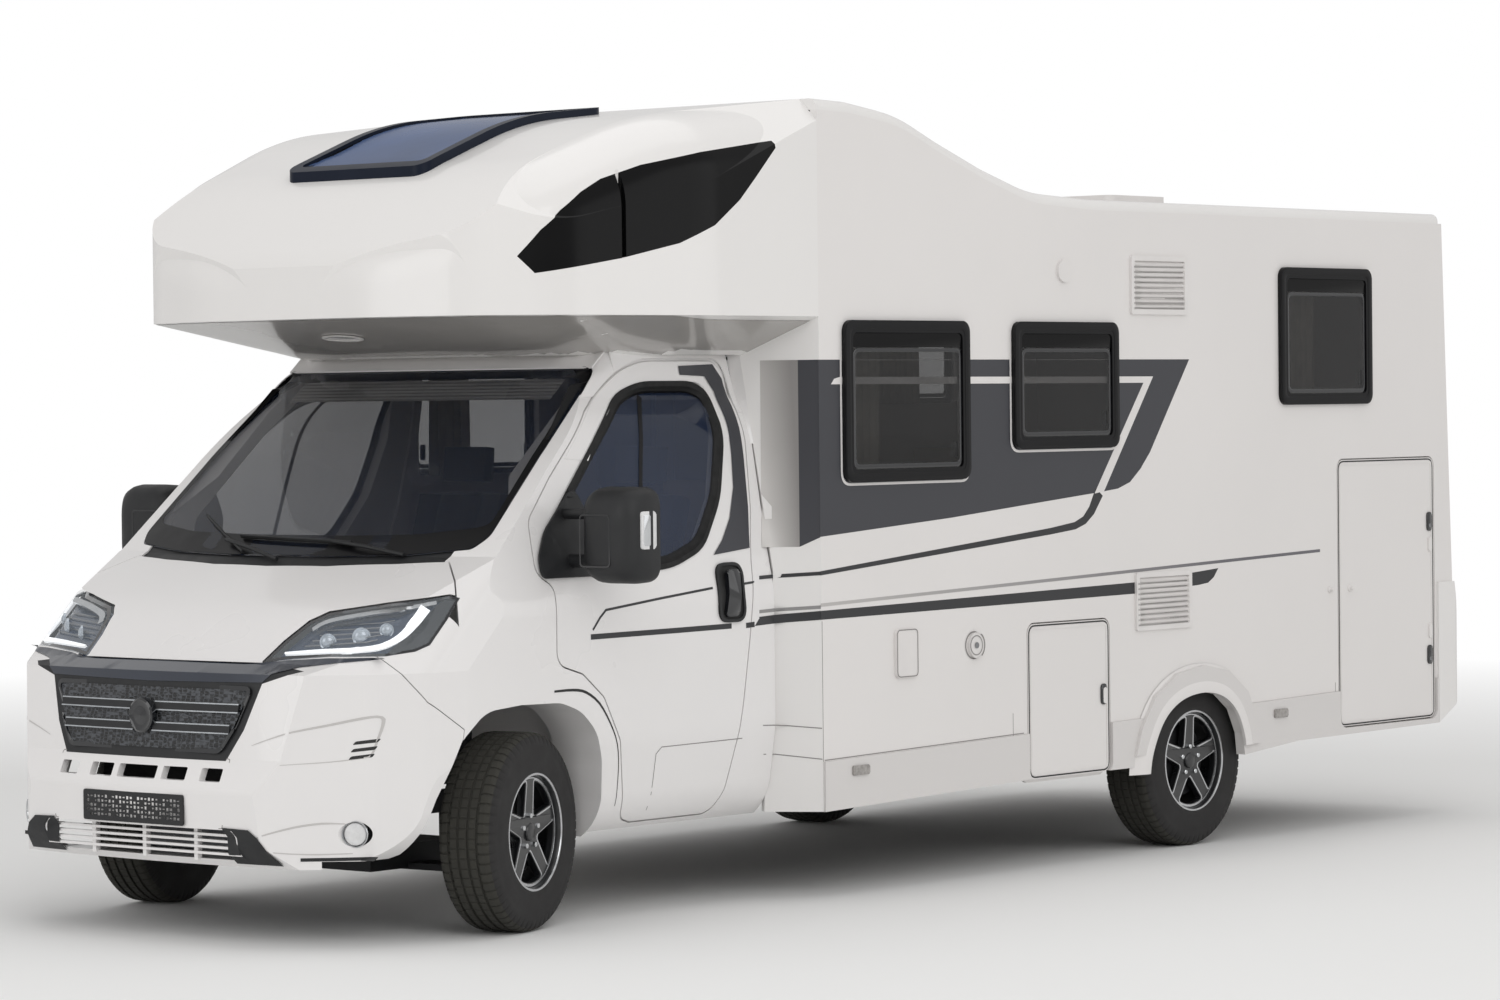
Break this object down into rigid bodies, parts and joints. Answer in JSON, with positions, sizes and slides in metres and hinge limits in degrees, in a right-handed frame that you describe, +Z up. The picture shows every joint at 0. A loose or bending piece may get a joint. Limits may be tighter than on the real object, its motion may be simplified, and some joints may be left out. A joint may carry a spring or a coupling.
{
  "type": "motorhome",
  "caption": "Overcab motorhome on a large-van cab, with steered front wheels, opening cab doors, bonnet, garage door, service hatch and entry door.",
  "frame": {"origin": "on the ground under the middle of the overall length and width", "axes": "+Z up, -Y forwards to the nose, +X to the left side"},
  "size_m": [2.744, 7.0601, 3.0519],
  "materials": {
    "cab_paint": "gloss",
    "bumper_paint": "gloss",
    "body_panel": "gloss",
    "moulded_shell": "gloss",
    "roof_skin": "satin",
    "light_skirt": "satin",
    "black_plastic": "textured",
    "tinted_glass": "polished",
    "lamp_clear": "polished",
    "lamp_red": "gloss",
    "white_plastic": "satin",
    "seat_fabric": "woven",
    "pale_wood": "satin",
    "floor_board": "satin",
    "frame_steel": "satin",
    "engine_iron": "rough",
    "tyre_rubber": "matt",
    "wheel_alloy": "machined"
  },
  "bodies": {
    "vehicle": {"alcove": "moulded_shell", "alcove_windows": "tinted_glass", "cab_seats": "seat_fabric", "cab_shell": "cab_paint", "chassis_frame": "frame_steel", "cowl": "black_plastic", "dashboard": "black_plastic", "engine": "engine_iron", "exhaust": "frame_steel", "fairings": "moulded_shell", "floor": "floor_board", "front_bumper": "bumper_paint", "front_suspension": "frame_steel", "furniture": "pale_wood", "grille": "black_plastic", "headlamps": "lamp_clear", "radiator": "frame_steel", "rear_axle": "frame_steel", "rear_bumper": "moulded_shell", "roof": "roof_skin", "roof_lights": "white_plastic", "side_fittings": "white_plastic", "skirts": "light_skirt", "skylight_frame": "black_plastic", "steering_wheel": "black_plastic", "tail_lamps": "lamp_red", "tank": "black_plastic", "wall_left": "body_panel", "wall_rear": "body_panel", "wall_right": "body_panel", "window_frames": "black_plastic", "window_panes": "tinted_glass", "windscreen": "tinted_glass"},
    "door_left": {"cab_door_left": "cab_paint", "door_glass_left": "tinted_glass", "mirror_left": "black_plastic"},
    "door_right": {"cab_door_right": "cab_paint", "door_glass_right": "tinted_glass", "mirror_right": "black_plastic"},
    "bonnet_lid": {"bonnet": "cab_paint"},
    "garage_leaf": {"garage_door": "body_panel"},
    "service_leaf": {"service_hatch": "body_panel"},
    "entry_leaf": {"entry_door": "body_panel", "entry_glass": "tinted_glass"},
    "steer_left": {"knuckle_left": "frame_steel"},
    "steer_right": {"knuckle_right": "frame_steel"},
    "wheel_front_left": {"rim_front_left": "wheel_alloy", "tyre_front_left": "tyre_rubber"},
    "wheel_front_right": {"rim_front_right": "wheel_alloy", "tyre_front_right": "tyre_rubber"},
    "wheel_rear_left": {"rim_rear_left": "wheel_alloy", "tyre_rear_left": "tyre_rubber"},
    "wheel_rear_right": {"rim_rear_right": "wheel_alloy", "tyre_rear_right": "tyre_rubber"}
  },
  "joints": [
    {"name": "steer_left_pivot", "type": "hinge", "parent": "vehicle", "child": "steer_left", "pos_m": [0.86, -2.546, 0.36], "axis": [0, 0, 1], "range_deg": [-53, 21]},
    {"name": "steer_right_pivot", "type": "hinge", "parent": "vehicle", "child": "steer_right", "pos_m": [-0.86, -2.546, 0.36], "axis": [0, 0, 1], "range_deg": [-53, 21]},
    {"name": "roll_front_left", "type": "hinge", "parent": "steer_left", "child": "wheel_front_left", "pos_m": [0.90326, -2.5336, 0.36], "axis": [0.9613, 0.2756, 0], "continuous": true},
    {"name": "roll_front_right", "type": "hinge", "parent": "steer_right", "child": "wheel_front_right", "pos_m": [-0.90326, -2.5584, 0.36], "axis": [0.9613, 0.2756, 0], "continuous": true},
    {"name": "roll_rear_left", "type": "hinge", "parent": "vehicle", "child": "wheel_rear_left", "pos_m": [0.99, 1.489, 0.36], "axis": [1, 0, 0], "continuous": true},
    {"name": "roll_rear_right", "type": "hinge", "parent": "vehicle", "child": "wheel_rear_right", "pos_m": [-0.99, 1.489, 0.36], "axis": [1, 0, 0], "continuous": true},
    {"name": "door_left_hinge", "type": "hinge", "parent": "vehicle", "child": "door_left", "pos_m": [1.026, -2.4, 1.1], "axis": [0, 0, -1], "range_deg": [0, 65]},
    {"name": "door_right_hinge", "type": "hinge", "parent": "vehicle", "child": "door_right", "pos_m": [-1.026, -2.4, 1.1], "axis": [0, 0, 1], "range_deg": [0, 65]},
    {"name": "bonnet_hinge", "type": "hinge", "parent": "vehicle", "child": "bonnet_lid", "pos_m": [0, -2.696, 1.35], "axis": [-1, 0, 0], "range_deg": [0, 55]},
    {"name": "garage_hinge", "type": "hinge", "parent": "vehicle", "child": "garage_leaf", "pos_m": [1.174, 2.512, 1], "axis": [0, 0, -1], "range_deg": [0, 110]},
    {"name": "service_hinge", "type": "hinge", "parent": "vehicle", "child": "service_leaf", "pos_m": [1.174, 0.243, 0.68], "axis": [0, 0, -1], "range_deg": [0, 110]},
    {"name": "entry_hinge", "type": "hinge", "parent": "vehicle", "child": "entry_leaf", "pos_m": [-1.174, 0.072, 1.3], "axis": [0, 0, 1], "range_deg": [0, 95]}
  ],
  "couplings": [
    {"joint": "steer_right_pivot", "follows": "steer_left_pivot", "ratio": 1}
  ]
}
